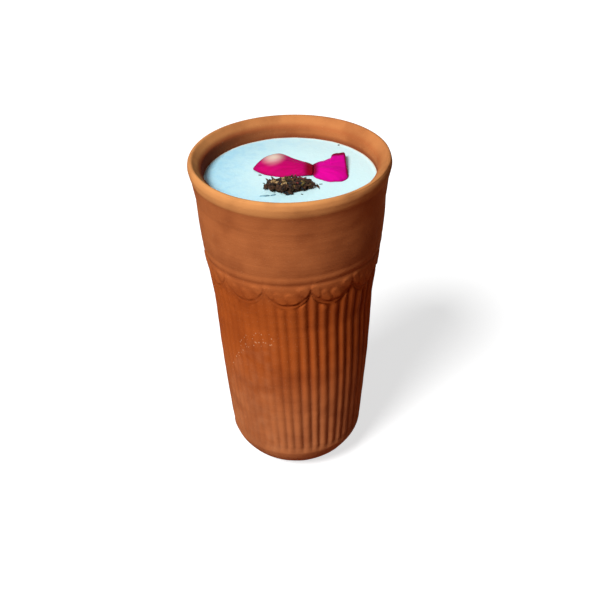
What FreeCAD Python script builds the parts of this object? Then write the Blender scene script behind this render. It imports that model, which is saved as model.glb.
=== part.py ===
"""Clay cup of rose lassi: a fluted terracotta tumbler, filled and garnished.

The cup is one turned wall: a thick lip bevelled to the inside, a plain upper band closed
by an incised ring, a garland of hanging swags, a body of upright ribs and a small rounded
foot.  The drink fills it to a level below the lip and carries two rose petals and a small
heap of chopped nuts.  Millimetres, +Z up, the front towards -Y, origin at the middle of the
foot.
"""
import FreeCAD
import Part
import math
import os

import Sketcher

# Driving dimensions: alias, value, meaning.
DRIVING = [
    ("cup_height", 150.0, "foot to the top of the lip"),
    ("foot_radius", 16.0, "flat that the cup stands on"),
    ("body_taper", 5.0, "how much narrower the wall is where the ribs start than at the waist"),
    ("shoulder_height", 14.6, "height of the place where the ribs start"),
    ("base_round", 22.0, "radius of the curve from the foot to the shoulder"),
    ("waist_radius", 34.9, "wall where it begins to flare"),
    ("waist_drop", 25.0, "from the incised ring down to that place"),
    ("body_round", 1000.0, "radius of the slight swell of the ribbed body"),
    ("ring_flare", 3.35, "how much wider the wall is at the incised ring than at the waist"),
    ("ring_drop", 39.5, "from the top of the lip down to the incised ring"),
    ("ring_width", 1.8, "width of the incised ring"),
    ("ring_depth", 0.6, "depth of the incised ring"),
    ("neck_flare", 1.75, "how much wider the wall is under the lip than at the ring"),
    ("neck_drop", 16.6, "from the top of the lip down to the neck"),
    ("band_round", 228.0, "radius of the swell of the plain band"),
    ("lip_flare", 1.4, "how much wider the corner under the lip is than the neck"),
    ("lip_drop", 7.3, "from the top of the lip down to that corner"),
    ("lip_top_inset", 0.4, "highest line of the lip, inwards from the corner under it"),
    ("lip_roll", 1.5, "radius of the lip's roll over its top"),
    ("lip_wrap", 45, "degrees that the roll turns inwards from its top"),
    ("mouth_inset", 4.5, "inner corner of the lip, inwards from its highest line"),
    ("mouth_drop", 4.2, "from the top of the lip down to that corner, where its bevel ends"),
    ("wall", 4.0, "thickness of the wall"),
    ("floor_thickness", 6.0, "thickness of the floor"),
    ("cavity_round", 12.0, "radius between the wall and the floor inside"),
    ("fill_drop", 9.3, "from the top of the lip down to the drink"),
    ("rib_count", 52, "ribs around the body, four to a swag"),
    ("flute_width", 3.7, "width of the cut between two ribs"),
    ("flute_depth", 0.9, "depth of the cut between two ribs"),
    ("flute_top_drop", 9.5, "from the incised ring down to where the flutes run out"),
    ("swag_count", 13, "swags around the garland"),
    ("swag_low_drop", 11.3, "from the incised ring down to the lowest line of a swag"),
    ("swag_high_drop", 2.7, "from the incised ring down to where two swags meet"),
    ("swag_round", 11.0, "radius of each half of a swag"),
    ("swag_groove_width", 1.6, "width of the groove along a swag"),
    ("swag_groove_depth", 0.6, "depth of that groove"),
    ("petal_thickness", 0.6, "thickness of a rose petal"),
    ("petal_clearance", 0.15, "gap between a petal's lowest edge and the drink"),
    ("petal_meeting", 9.0, "where the two petals meet, right of the middle"),
    ("petal_parting", 0.2, "gap between them there"),
    ("pinch_width", 8.5, "width of the petals where they meet"),
    ("left_petal_length", 24.6, "left petal, from its tip to the meeting"),
    ("left_petal_width", 17.7, "left petal across"),
    ("left_back_share", 0.66, "part of that width behind the pinch"),
    ("left_tip_back", 3.0, "left petal's tip, behind the pinch"),
    ("left_petal_dome", 30.0, "radius of its dome"),
    ("right_petal_length", 13.4, "right petal, from the meeting to its outer edge"),
    ("right_petal_width", 22.4, "right petal across its outer edge"),
    ("right_back_share", 0.48, "part of that width behind the pinch"),
    ("right_petal_dome", 34.0, "radius of its dome"),
    ("dome_reach_share", 0.6, "a dome before it is trimmed, as a part of its radius"),
    ("dome_rim_share", 0.8, "height of its rim over its centre, as a part of its radius"),
    ("petal_row", 4.8, "pinch of the petals, behind the middle"),
    ("heap_length", 22.5, "heap of chopped nuts, side to side"),
    ("heap_width", 13.0, "heap, front to back"),
    ("heap_height", 4.2, "heap above the drink"),
    ("heap_parting", 2.9, "gap between the heap and the petal behind it"),
]

# Dimensions that follow from them: alias, formula, meaning.
FOLLOWING = [
    ("shoulder_radius", "=waist_radius - body_taper", "wall where the ribs start"),
    ("ring_radius", "=waist_radius + ring_flare", "wall at the incised ring"),
    ("neck_radius", "=ring_radius + neck_flare", "wall just under the lip"),
    ("lip_under_radius", "=neck_radius + lip_flare", "outer corner under the lip"),
    ("lip_top_radius", "=lip_under_radius - lip_top_inset", "highest line of the lip"),
    ("mouth_radius", "=lip_top_radius - mouth_inset", "inner corner of the lip"),
    ("ring_height", "=cup_height - ring_drop", "height of the incised ring"),
    ("waist_height", "=ring_height - waist_drop", "height of the waist"),
    ("flute_top_height", "=ring_height - flute_top_drop", "top of the flutes"),
    ("swag_low_height", "=ring_height - swag_low_drop", "lowest line of a swag"),
    ("swag_high_height", "=ring_height - swag_high_drop", "where two swags meet"),
    ("neck_height", "=cup_height - neck_drop", "height of the neck"),
    ("lip_under_height", "=cup_height - lip_drop", "height of the corner under the lip"),
    ("lip_side_radius", "=lip_top_radius + lip_roll", "widest line of the lip"),
    ("lip_side_height", "=cup_height - lip_roll", "height of that line"),
    ("lip_proud", "=lip_side_radius - lip_under_radius", "lip side beyond its lower corner"),
    ("lip_side_rise", "=lip_side_height - lip_under_height", "lip side above that corner"),
    ("lip_side_round", "=(lip_proud ^ 2 + lip_side_rise ^ 2) / (2 * lip_proud)",
     "radius of the lip's side, upright where the roll begins"),
    ("lip_inside_radius", "=lip_top_radius - lip_roll * sin(lip_wrap)", "inner end of the roll"),
    ("lip_inside_height", "=lip_side_height + lip_roll * cos(lip_wrap)", "height of that end"),
    ("mouth_height", "=cup_height - mouth_drop", "height of the lip's inner corner"),
    ("drink_height", "=cup_height - fill_drop", "level of the drink"),
    ("inner_waist_radius", "=waist_radius - wall", "cavity at the waist"),
    ("inner_base_radius", "=shoulder_radius - wall", "cavity above its bottom curve"),
    ("inner_base_height", "=floor_thickness + cavity_round", "height of that place"),
    ("inner_floor_radius", "=inner_base_radius - cavity_round", "flat of the floor inside"),
    ("inner_slope", "=(mouth_radius - inner_waist_radius) / (mouth_height - waist_height)",
     "how much the cavity widens for each millimetre up"),
    ("drink_radius", "=mouth_radius - inner_slope * (mouth_height - drink_height)",
     "edge of the drink on the wall"),
    ("flare", "=(ring_radius - waist_radius) / (ring_height - waist_height)",
     "how much the wall widens between waist and ring"),
    ("ring_bottom_radius", "=ring_radius - ring_depth", "bottom of the incised ring"),
    ("ring_outside_radius", "=ring_radius + ring_depth", "ring cutter outside the wall"),
    ("ring_cutter_top", "=ring_height + ring_width", "upper edge of that cutter"),
    ("ring_cutter_foot", "=ring_height - ring_width", "lower edge of that cutter"),
    ("flute_top_radius", "=waist_radius + flare * (flute_top_height - waist_height)",
     "wall where the flutes run out"),
    ("flute_half", "=flute_width / 2", "half the width of a flute"),
    ("flute_half_back", "=-flute_half", "its other side"),
    ("flute_bottom_radius", "=shoulder_radius - flute_depth", "bottom of a flute"),
    ("flute_outside_radius", "=shoulder_radius + flute_depth", "flute cutter outside the wall"),
    ("flute_flank", "=(flute_half ^ 2 + flute_depth ^ 2) / (2 * flute_depth)",
     "radius of a flank, level with the wall at the top of the rib"),
    ("swag_middle_height", "=(swag_low_height + swag_high_height) / 2", "middle of the garland"),
    ("swag_middle_radius", "=waist_radius + flare * (swag_middle_height - waist_height)",
     "wall at the middle of the garland"),
    ("swag_rise", "=(swag_high_height - swag_low_height) / 2", "half the height of a swag"),
    ("swag_rise_back", "=-swag_rise", "the same downwards"),
    ("swag_reach", "=swag_middle_radius * tan(90 / swag_count)", "a quarter of a swag's width"),
    ("swag_reach_back", "=-swag_reach", "the same to the left"),
    ("swag_chord", "=sqrt(swag_reach ^ 2 + swag_rise ^ 2)", "half the straight length of a stroke"),
    ("swag_start_angle", "=atan(swag_rise / swag_reach) - asin(swag_chord / swag_round)",
     "degrees that a stroke climbs at its low end"),
    ("swag_cutter_out", "=-swag_groove_depth", "swag cutter outside the wall"),
    ("swag_cutter_back", "=-swag_groove_width", "its other side"),
    ("pinch_half", "=pinch_width / 2", "middle of the meeting to its corner"),
    ("pinch_half_back", "=-pinch_half", "the same to the front"),
    ("left_half", "=left_petal_length / 2", "left petal, middle to each end"),
    ("left_half_back", "=-left_half", "the same to the left"),
    ("left_side", "=-left_half / 6", "widest place of the left petal"),
    ("left_back", "=left_petal_width * left_back_share", "its back edge"),
    ("left_front", "=left_back - left_petal_width", "its front edge"),
    ("right_half", "=right_petal_length / 2", "right petal, middle to each end"),
    ("right_half_back", "=-right_half", "the same to the left"),
    ("right_heel", "=right_half / 4", "where its front edge starts to round"),
    ("right_back", "=right_petal_width * right_back_share", "its back corner"),
    ("right_front", "=right_back - right_petal_width", "its front edge"),
    ("right_side", "=right_front * 0.7", "where its outer edge starts to round"),
    ("left_inner_dome", "=left_petal_dome - petal_thickness", "underside of the left petal"),
    ("left_reach", "=left_petal_dome * dome_reach_share", "left dome before it is trimmed"),
    ("left_rim", "=left_petal_dome * dome_rim_share", "height of that dome's rim over its centre"),
    ("left_inner_reach", "=left_inner_dome * dome_reach_share", "the same underneath"),
    ("left_inner_rim", "=left_inner_dome * dome_rim_share", "the same underneath"),
    ("right_inner_dome", "=right_petal_dome - petal_thickness", "underside of the right petal"),
    ("right_reach", "=right_petal_dome * dome_reach_share", "right dome before it is trimmed"),
    ("right_rim", "=right_petal_dome * dome_rim_share", "height of that dome's rim over its centre"),
    ("right_inner_reach", "=right_inner_dome * dome_reach_share", "the same underneath"),
    ("right_inner_rim", "=right_inner_dome * dome_rim_share", "the same underneath"),
    ("left_petal_place", "=petal_meeting - petal_parting / 2 - left_half", "left petal's middle"),
    ("right_petal_place", "=petal_meeting + petal_parting / 2 + right_half",
     "right petal's middle"),
    ("left_edge_round", "=left_petal_length * 0.55", "left petal's rounder edges"),
    ("left_long_round", "=left_petal_length * 0.9", "left petal's longer edges"),
    ("right_edge_round", "=right_petal_length * 0.6", "right petal's front corner"),
    ("right_long_round", "=right_petal_length * 2.2", "right petal's longer edges"),
    ("heap_place", "=petal_row + left_front - heap_parting - heap_width / 2", "heap's middle"),
]

SHEET = "Sizes"

# A petal's trim has failed if it leaves more than this share of the dome.
MOST_LEFT = 0.8

# A heap's outline: two waves added to an ellipse, as (waves round, height, turn in radians).
HEAP_CORNERS = 12
HEAP_WAVES = ((3, 0.07, 0.8), (5, 0.05, 2.1))
# Its levels: share of the height, share of the plan, and shift to the right as a share
# of its length.
HEAP_LEVELS = ((0.0, 0.90, 0.0), (0.40, 0.82, 0.02), (0.78, 0.56, -0.05), (1.0, 0.22, -0.09))

document = FreeCAD.newDocument("clay_cup_of_rose_lassi")
sheet = document.addObject("Spreadsheet::Sheet", SHEET)


def fill_sheet():
    """Write the driving dimensions as plain numbers and the rest as formulas."""
    for row, (alias, entry, meaning) in enumerate(DRIVING + FOLLOWING, start=1):
        sheet.set(f"A{row}", meaning)
        sheet.set(f"B{row}", str(entry))
        sheet.setAlias(f"B{row}", alias)
    document.recompute()


def size(alias):
    """The present number of one cell of the sheet."""
    return float(sheet.get(alias))


def bind(thing, path, formula):
    """Tie one property of an object to a cell, or to a formula of cells."""
    thing.setExpression(path, formula if SHEET in formula else f"{SHEET}.{formula}")


def origin_part(body, role):
    """One of a body's own origin planes or axes, found by its role."""
    return next(item for item in body.Origin.OriginFeatures if item.Role == role)


def new_body(name):
    """A body whose label names its piece."""
    body = document.addObject("PartDesign::Body", name)
    body.Label = name
    return body


def new_sketch(body, name, role="XZ_Plane"):
    """A sketch flat on one of the body's origin planes."""
    sketch = body.newObject("Sketcher::SketchObject", name)
    sketch.AttachmentSupport = [(origin_part(body, role), "")]
    sketch.MapMode = "FlatFace"
    return sketch


def fix(sketch, name, constraint, formula):
    """Add a named dimension to a sketch and tie it to the sheet."""
    sketch.addConstraint(constraint)
    sketch.renameConstraint(sketch.ConstraintCount - 1, name)
    bind(sketch, f"Constraints.{name}", formula)


def place_corner(sketch, edge, end, corner, name):
    """Fix one corner at the two cells that give its place; None puts it on that axis."""
    for cell, kind, axis in zip(corner, ("DistanceX", "DistanceY"), (-2, -1)):
        if cell is None:
            sketch.addConstraint(Sketcher.Constraint("PointOnObject", edge, end, axis))
        else:
            distance = Sketcher.Constraint(kind, -1, 1, edge, end, size(cell))
            fix(sketch, f"{kind}_{name}", distance, cell)


def corner_point(corner):
    """A corner's place in its sketch."""
    across, up = (0.0 if cell is None else size(cell) for cell in corner)
    return FreeCAD.Vector(across, up, 0.0)


def arc_between(start, finish, radius, turn):
    """Arc from start to finish; turn is +1 for anticlockwise travel and -1 for clockwise."""
    chord = finish - start
    to_centre = math.sqrt(radius ** 2 - chord.Length ** 2 / 4)
    sideways = FreeCAD.Vector(-chord.y, chord.x, 0.0).normalize()
    centre = (start + finish) * 0.5 + sideways * (turn * to_centre)
    first, last = (start, finish) if turn > 0 else (finish, start)
    first_angle = math.atan2(first.y - centre.y, first.x - centre.x)
    last_angle = math.atan2(last.y - centre.y, last.x - centre.x)
    if last_angle < first_angle:
        last_angle += 2 * math.pi
    circle = Part.Circle(centre, FreeCAD.Vector(0, 0, 1), radius)
    return Part.ArcOfCircle(circle, first_angle, last_angle)


def trace(sketch, corners, rounds, closed=True):
    """Draw edges from corner to corner; rounds maps an edge to (radius cell, turn)."""
    count = len(corners) if closed else len(corners) - 1
    first_edge = sketch.GeometryCount
    ends = []
    for step in range(count):
        start = corner_point(corners[step])
        finish = corner_point(corners[(step + 1) % len(corners)])
        turn = 1
        if step in rounds:
            radius, turn = rounds[step]
            sketch.addGeometry(arc_between(start, finish, size(radius), turn))
        else:
            sketch.addGeometry(Part.LineSegment(start, finish))
        ends.append((1, 2) if turn > 0 else (2, 1))
    for step in range(count if closed else count - 1):
        after = (step + 1) % count
        sketch.addConstraint(Sketcher.Constraint(
            "Coincident", first_edge + step, ends[step][1], first_edge + after, ends[after][0]))
    for step in range(count):
        edge = first_edge + step
        place_corner(sketch, edge, ends[step][0], corners[step], f"{edge}")
    if not closed:
        place_corner(sketch, first_edge + count - 1, ends[-1][1], corners[-1], "last")
    for step, (radius, _) in rounds.items():
        edge = first_edge + step
        fix(sketch, f"Round_{edge}", Sketcher.Constraint("Radius", edge, size(radius)), radius)


def revolve(body, kind, name, sketch):
    """Turn a sketch once round the upright axis, to add clay or to cut it."""
    turned = body.newObject(f"PartDesign::{kind}", name)
    turned.Profile = sketch
    turned.ReferenceAxis = (sketch, ["V_Axis"])
    turned.Angle = 360
    return turned


def carry(body, name, section, path):
    """Cut a section along a path."""
    cut = body.newObject("PartDesign::SubtractivePipe", name)
    cut.Profile = section
    cut.Spine = (path, [])
    return cut


def repeat_round(body, name, features, count_cell):
    """Repeat features evenly round the upright axis of the body."""
    document.recompute()
    pattern = body.newObject("PartDesign::PolarPattern", name)
    pattern.Originals = features
    pattern.Axis = (origin_part(body, "Z_Axis"), [""])
    pattern.Angle = 360
    bind(pattern, "Occurrences", count_cell)
    body.Tip = pattern
    document.recompute()


def cavity_corners(top_radius, top_height):
    """The inside of the wall from a line near the mouth down to the middle of the floor."""
    return [
        (top_radius, top_height),
        ("inner_waist_radius", "waist_height"),
        ("inner_base_radius", "inner_base_height"),
        ("inner_floor_radius", "floor_thickness"),
        (None, "floor_thickness"),
    ]


# Which edge of those corners is the curve between wall and floor.
CAVITY_CURVE = 2


def turn_wall(body):
    """The whole wall in one turning: foot, body, band, rolled lip and cavity."""
    outside = [
        (None, None),
        ("foot_radius", None),
        ("shoulder_radius", "shoulder_height"),
        ("waist_radius", "waist_height"),
        ("ring_radius", "ring_height"),
        ("neck_radius", "neck_height"),
        ("lip_under_radius", "lip_under_height"),
        ("lip_side_radius", "lip_side_height"),
        ("lip_top_radius", "cup_height"),
        ("lip_inside_radius", "lip_inside_height"),
    ]
    rounds = {
        1: ("base_round", 1),
        2: ("body_round", 1),
        4: ("band_round", 1),
        6: ("lip_side_round", 1),
        7: ("lip_roll", 1),
        8: ("lip_roll", 1),
        len(outside) + CAVITY_CURVE: ("cavity_round", -1),
    }
    sketch = new_sketch(body, "wall_outline")
    trace(sketch, outside + cavity_corners("mouth_radius", "mouth_height"), rounds)
    revolve(body, "Revolution", "turned_wall", sketch)


def cut_ring(body):
    """The incised ring under the plain band."""
    sketch = new_sketch(body, "ring_section")
    trace(sketch, [
        ("ring_bottom_radius", "ring_height"),
        ("ring_outside_radius", "ring_cutter_foot"),
        ("ring_outside_radius", "ring_cutter_top"),
    ], {})
    revolve(body, "Groove", "ring", sketch)


def cut_flutes(body):
    """The cuts between the ribs, each with two hollow flanks that leave the ribs round."""
    path = new_sketch(body, "flute_path")
    trace(path, [
        ("shoulder_radius", "shoulder_height"),
        ("waist_radius", "waist_height"),
        ("flute_top_radius", "flute_top_height"),
    ], {0: ("body_round", 1)}, closed=False)
    section = new_sketch(body, "flute_section", "XY_Plane")
    bind(section, ".AttachmentOffset.Base.z", "shoulder_height")
    trace(section, [
        ("flute_bottom_radius", None),
        ("shoulder_radius", "flute_half"),
        ("flute_outside_radius", "flute_half"),
        ("flute_outside_radius", "flute_half_back"),
        ("shoulder_radius", "flute_half_back"),
    ], {0: ("flute_flank", -1), 4: ("flute_flank", -1)})
    repeat_round(body, "flutes", [carry(body, "flute", section, path)], "rib_count")


def on_garland(sketch, side, further):
    """Lay a sketch on the flaring wall of the garland, a quarter swag to one side."""
    turn = f"placement(vector(0; 0; 0); rotationy({side} * 90 / {SHEET}.swag_count))"
    stand = (f"placement(vector(0; {SHEET}.swag_middle_height; {SHEET}.swag_middle_radius); "
             f"rotationx(atan({SHEET}.flare)))")
    bind(sketch, ".AttachmentOffset", f"{turn} * {stand}{further}")


def cut_swags(body):
    """Grooves that hang between their meeting places, each of two mirrored strokes."""
    strokes = []
    for side, name in ((1, "right"), (-1, "left")):
        inner, outer = ("swag_reach_back", "swag_reach")[::side]
        path = new_sketch(body, f"swag_{name}_path")
        on_garland(path, side, "")
        trace(path, [(inner, "swag_rise_back"), (outer, "swag_rise")],
              {0: ("swag_round", side)}, closed=False)
        section = new_sketch(body, f"swag_{name}_section")
        on_garland(section, side, (
            f" * placement(vector({SHEET}.{inner}; {SHEET}.swag_rise_back; 0);"
            f" rotationz({side} * {SHEET}.swag_start_angle))"
            f" * placement(vector(0; 0; 0); rotationy(90))"))
        trace(section, [
            ("swag_groove_depth", None),
            ("swag_cutter_out", "swag_groove_width"),
            ("swag_cutter_out", "swag_cutter_back"),
        ], {})
        document.recompute()
        strokes.append(carry(body, f"swag_{name}", section, path))
    repeat_round(body, "swags", strokes, "swag_count")


def make_cup():
    """The clay cup: turned, then incised, hung with swags and fluted."""
    body = new_body("clay_cup")
    turn_wall(body)
    cut_ring(body)
    cut_swags(body)
    cut_flutes(body)


def make_drink():
    """The lassi, from the floor of the cup up to its level."""
    body = new_body("lassi")
    sketch = new_sketch(body, "drink_outline")
    corners = cavity_corners("drink_radius", "drink_height") + [(None, "drink_height")]
    trace(sketch, corners, {CAVITY_CURVE: ("cavity_round", -1)})
    revolve(body, "Revolution", "drink", sketch)


def make_petal(side, outline, rounds):
    """A petal: a thin dome trimmed to its outline, lying edge down on the drink."""
    body = new_body(f"rose_petal_{side}")
    shell = new_sketch(body, f"{side}_dome_section")
    trace(shell, [
        (None, f"{side}_petal_dome"),
        (f"{side}_reach", f"{side}_rim"),
        (f"{side}_inner_reach", f"{side}_inner_rim"),
        (None, f"{side}_inner_dome"),
    ], {0: (f"{side}_petal_dome", -1), 2: (f"{side}_inner_dome", 1)})
    revolve(body, "Revolution", f"{side}_dome", shell)
    document.recompute()
    untrimmed = body.Shape.Volume
    trim = new_sketch(body, f"{side}_petal_outline", "XY_Plane")
    bind(trim, ".AttachmentOffset.Base.z", f"{side}_petal_dome")
    trace(trim, outline, rounds)
    around = trim.GeometryCount
    trim.addGeometry(Part.Circle(
        FreeCAD.Vector(), FreeCAD.Vector(0, 0, 1), size(f"{side}_petal_dome")))
    trim.addConstraint(Sketcher.Constraint("Coincident", around, 3, -1, 1))
    fix(trim, "around", Sketcher.Constraint("Radius", around, size(f"{side}_petal_dome")),
        f"{side}_petal_dome")
    pocket = body.newObject("PartDesign::Pocket", f"{side}_petal_trim")
    pocket.Profile = trim
    pocket.Type = "ThroughAll"
    document.recompute()
    if body.Shape.Volume > MOST_LEFT * untrimmed:
        raise ValueError(f"the {side} petal was not trimmed")
    lowest = body.Shape.optimalBoundingBox().ZMin
    bind(body, ".Placement.Base.x", f"{side}_petal_place")
    bind(body, ".Placement.Base.y", "petal_row")
    bind(body, ".Placement.Base.z",
         f"{SHEET}.drink_height + {SHEET}.petal_clearance - {lowest:.6f}")


def make_petals():
    """Two petals whose narrow ends meet, as a bow."""
    make_petal("left", [
        ("left_half_back", "left_tip_back"),
        ("left_side", "left_front"),
        ("left_half", "pinch_half_back"),
        ("left_half", "pinch_half"),
        ("left_side", "left_back"),
    ], {0: ("left_edge_round", 1), 1: ("left_long_round", 1), 3: ("left_long_round", 1),
        4: ("left_edge_round", 1)})
    make_petal("right", [
        ("right_half_back", "pinch_half_back"),
        ("right_heel", "right_front"),
        ("right_half", "right_side"),
        ("right_half", "right_back"),
        ("right_half_back", "pinch_half"),
    ], {0: ("right_long_round", 1), 1: ("right_edge_round", 1), 2: ("right_long_round", 1)})


def heap_corner(corner, share):
    """A corner of one level of the heap, as shares of its length and width."""
    angle = 2 * math.pi * corner / HEAP_CORNERS
    waves = sum(height * math.cos(count * angle + turn) for count, height, turn in HEAP_WAVES)
    across = share * (1 + waves) * math.cos(angle) / 2
    back = share * (1 + waves) * math.sin(angle) / 2
    return (("heap_length", across), ("heap_width", back))


def make_heap():
    """The heap of chopped nuts: uneven levels, each narrower than the one below."""
    body = new_body("garnish_heap")
    levels = []
    for level, (rise, share, shift) in enumerate(HEAP_LEVELS):
        sketch = new_sketch(body, f"heap_level_{level}", "XY_Plane")
        bind(sketch, ".AttachmentOffset.Base.x", f"{SHEET}.heap_length * {shift}")
        bind(sketch, ".AttachmentOffset.Base.z", f"{SHEET}.heap_height * {rise}")
        corners = [heap_corner(corner, share) for corner in range(HEAP_CORNERS)]
        points = [FreeCAD.Vector(*(size(cell) * part for cell, part in corner), 0.0)
                  for corner in corners]
        for corner, point in enumerate(points):
            sketch.addGeometry(Part.LineSegment(point, points[(corner + 1) % HEAP_CORNERS]))
        for corner in range(HEAP_CORNERS):
            sketch.addConstraint(Sketcher.Constraint(
                "Coincident", corner, 2, (corner + 1) % HEAP_CORNERS, 1))
        for corner, places in enumerate(corners):
            for (cell, part), kind in zip(places, ("DistanceX", "DistanceY")):
                fix(sketch, f"{kind}_{corner}",
                    Sketcher.Constraint(kind, -1, 1, corner, 1, size(cell) * part),
                    f"{SHEET}.{cell} * {part:.6f}")
        levels.append(sketch)
    document.recompute()
    loft = body.newObject("PartDesign::AdditiveLoft", "heap")
    loft.Profile = levels[0]
    loft.Sections = levels[1:]
    loft.Ruled = True
    bind(body, ".Placement.Base.y", "heap_place")
    bind(body, ".Placement.Base.z", "drink_height")


def check_and_write(names):
    """Stop on any failed object or bad solid, then write one STEP file for each piece."""
    document.recompute()
    for item in document.Objects:
        if {"Invalid", "Error"} & set(item.State):
            raise ValueError(f"{item.Name} failed: {item.State}")
    pieces = [document.getObject(name) for name in names]
    for piece in pieces:
        shape = piece.Shape
        if shape.isNull() or not shape.isValid() or len(shape.Solids) != 1:
            raise ValueError(f"{piece.Label} is not one sound solid")
        print(f"{piece.Label}: {shape.Volume / 1000:.2f} cm3")
    os.makedirs("parts", exist_ok=True)
    for piece in pieces:
        piece.Shape.exportStep(f"parts/{piece.Label}.step")


fill_sheet()
make_cup()
make_drink()
make_petals()
make_heap()
check_and_write(["clay_cup", "lassi", "rose_petal_left", "rose_petal_right", "garnish_heap"])
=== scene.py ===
"""Looks of a clay cup of rose lassi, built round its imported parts.

The cup is pressed and turned terracotta: a rolled lip, a plain band with throwing marks, two
incised rings, a garland of swags with pressed leaves, uneven leaning ribs and a small rounded
foot.  It holds a thick pale lassi, with two rose petals and a heap of chopped nuts and dried
bits on it.  Every length below is in millimetres; a piece's mesh is turned to metres when it is
made.  Azimuth is measured from the front, -Y, and grows to the right.
"""

import logging
import math
from dataclasses import dataclass
from enum import Enum

import bpy
import numpy as np
from mathutils import Matrix, Vector


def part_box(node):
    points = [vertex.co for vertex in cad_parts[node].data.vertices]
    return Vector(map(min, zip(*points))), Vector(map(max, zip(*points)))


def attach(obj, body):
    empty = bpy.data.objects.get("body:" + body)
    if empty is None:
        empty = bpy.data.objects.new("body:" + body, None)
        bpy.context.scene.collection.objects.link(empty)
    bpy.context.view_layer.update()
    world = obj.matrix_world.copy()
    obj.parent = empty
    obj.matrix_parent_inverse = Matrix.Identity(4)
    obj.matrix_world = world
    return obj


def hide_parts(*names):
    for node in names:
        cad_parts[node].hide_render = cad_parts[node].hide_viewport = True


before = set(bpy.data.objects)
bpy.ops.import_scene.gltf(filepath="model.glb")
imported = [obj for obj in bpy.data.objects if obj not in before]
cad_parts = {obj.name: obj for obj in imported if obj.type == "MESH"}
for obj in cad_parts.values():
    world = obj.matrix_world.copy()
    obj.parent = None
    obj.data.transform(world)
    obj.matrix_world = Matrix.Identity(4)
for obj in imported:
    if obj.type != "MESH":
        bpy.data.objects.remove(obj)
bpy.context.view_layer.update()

METRES = 0.001
LOG = logging.getLogger("rose_lassi")

Material = bpy.types.Material
Tree = bpy.types.NodeTree
Node = bpy.types.Node
Socket = bpy.types.NodeSocket


class Slot(Enum):
    """The record's material slots."""

    CLAY = "terracotta"
    DRINK = "lassi"
    PETAL = "rose_petal"
    NUTS = "chopped_nuts"


def linear(colour: str) -> tuple[float, float, float, float]:
    """Turn an sRGB hex colour into linear light.

    Each channel is divided by 12.92 below 0.04045, and above it is raised to the power 2.4
    after adding 0.055 and dividing by 1.055.

    Args:
        colour: six hex digits after a hash.

    Returns:
        Red, green, blue and an alpha of one.
    """
    channels = (int(colour[place:place + 2], 16) / 255 for place in (1, 3, 5))
    lit = [c / 12.92 if c <= 0.04045 else ((c + 0.055) / 1.055) ** 2.4 for c in channels]
    return (*lit, 1.0)


# ---------------------------------------------------------------- surfaces from arrays


def closed_faces(rows: int, columns: int) -> tuple[np.ndarray, np.ndarray]:
    """Faces of a surface closed round and ended by a pole at each side.

    The vertices are the first pole, then each row in turn, then the last pole.

    Args:
        rows: rings between the poles.
        columns: vertices in a ring.

    Returns:
        The quads and the triangles, as vertex numbers.
    """
    column = np.arange(columns)
    after = (column + 1) % columns
    row = np.arange(rows - 1)[:, None] * columns + 1
    quads = np.stack(np.broadcast_arrays(
        row + column, row + after, row + columns + after, row + columns + column), axis=-1)
    top = 1 + (rows - 1) * columns
    last = np.full(columns, rows * columns + 1)
    first = np.zeros(columns, int)
    triangles = np.concatenate([
        np.stack([first, after + 1, column + 1], axis=-1),
        np.stack([last, top + column, top + after], axis=-1)])
    return quads.reshape(-1, 4), triangles


def closed_points(surface: np.ndarray) -> np.ndarray:
    """List a closed surface's points, with each end ring's middle as its pole.

    Args:
        surface: points as rows, columns and three coordinates.

    Returns:
        The points as rows of three coordinates.
    """
    poles = surface[[0, -1]].mean(axis=1)
    return np.concatenate([poles[:1], surface.reshape(-1, 3), poles[1:]])


def closed_values(values: np.ndarray) -> np.ndarray:
    """List one number for each point of a closed surface, poles included."""
    ends = values[[0, -1]].mean(axis=1)
    return np.concatenate([ends[:1], values.ravel(), ends[1:]])


def ripples(across: np.ndarray, along: np.ndarray, turns: int, length: float, count: int,
            seed: int) -> np.ndarray:
    """Smooth uneven waves that join up once round the cup.

    The sum of count cosines, each with a whole number of turns round, a wave along the
    height and a phase of its own, over the root of half the count.

    Args:
        across: azimuths in radians.
        along: heights.
        turns: most waves in one turn.
        length: shortest wave along the height.
        count: number of waves summed.
        seed: start of the random draws.

    Returns:
        A field of about unit size, in the shape of the two fields together.
    """
    draw = np.random.default_rng(seed)
    total = np.zeros(np.broadcast(across, along).shape)
    for _ in range(count):
        around = draw.integers(-turns, turns + 1)
        rise = draw.uniform(-1.0, 1.0) * 2 * np.pi / length
        total += np.cos(around * across + rise * along + draw.uniform(0, 2 * np.pi))
    return total / math.sqrt(count / 2)


def ramp(value: np.ndarray, low: float, high: float) -> np.ndarray:
    """A smooth step from 0 at low to 1 at high: three squares less two cubes."""
    share = np.clip((value - low) / (high - low), 0.0, 1.0)
    return share * share * (3 - 2 * share)


def window(value: np.ndarray, start: float, full: float, still: float,
           end: float) -> np.ndarray:
    """One between full and still, falling smoothly to 0 at start and at end."""
    return ramp(value, start, full) * ramp(value, end, still)


def bell(value: np.ndarray, width: float) -> np.ndarray:
    """One at zero, falling as the bell curve of the given half width."""
    return np.exp(-(value / width) ** 2)


def turned(radius: np.ndarray, azimuth: np.ndarray, height: np.ndarray) -> np.ndarray:
    """Points at a radius and azimuth round the upright axis, at a height."""
    return np.stack(np.broadcast_arrays(
        radius * np.sin(azimuth), -radius * np.cos(azimuth), height), axis=-1)


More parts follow.
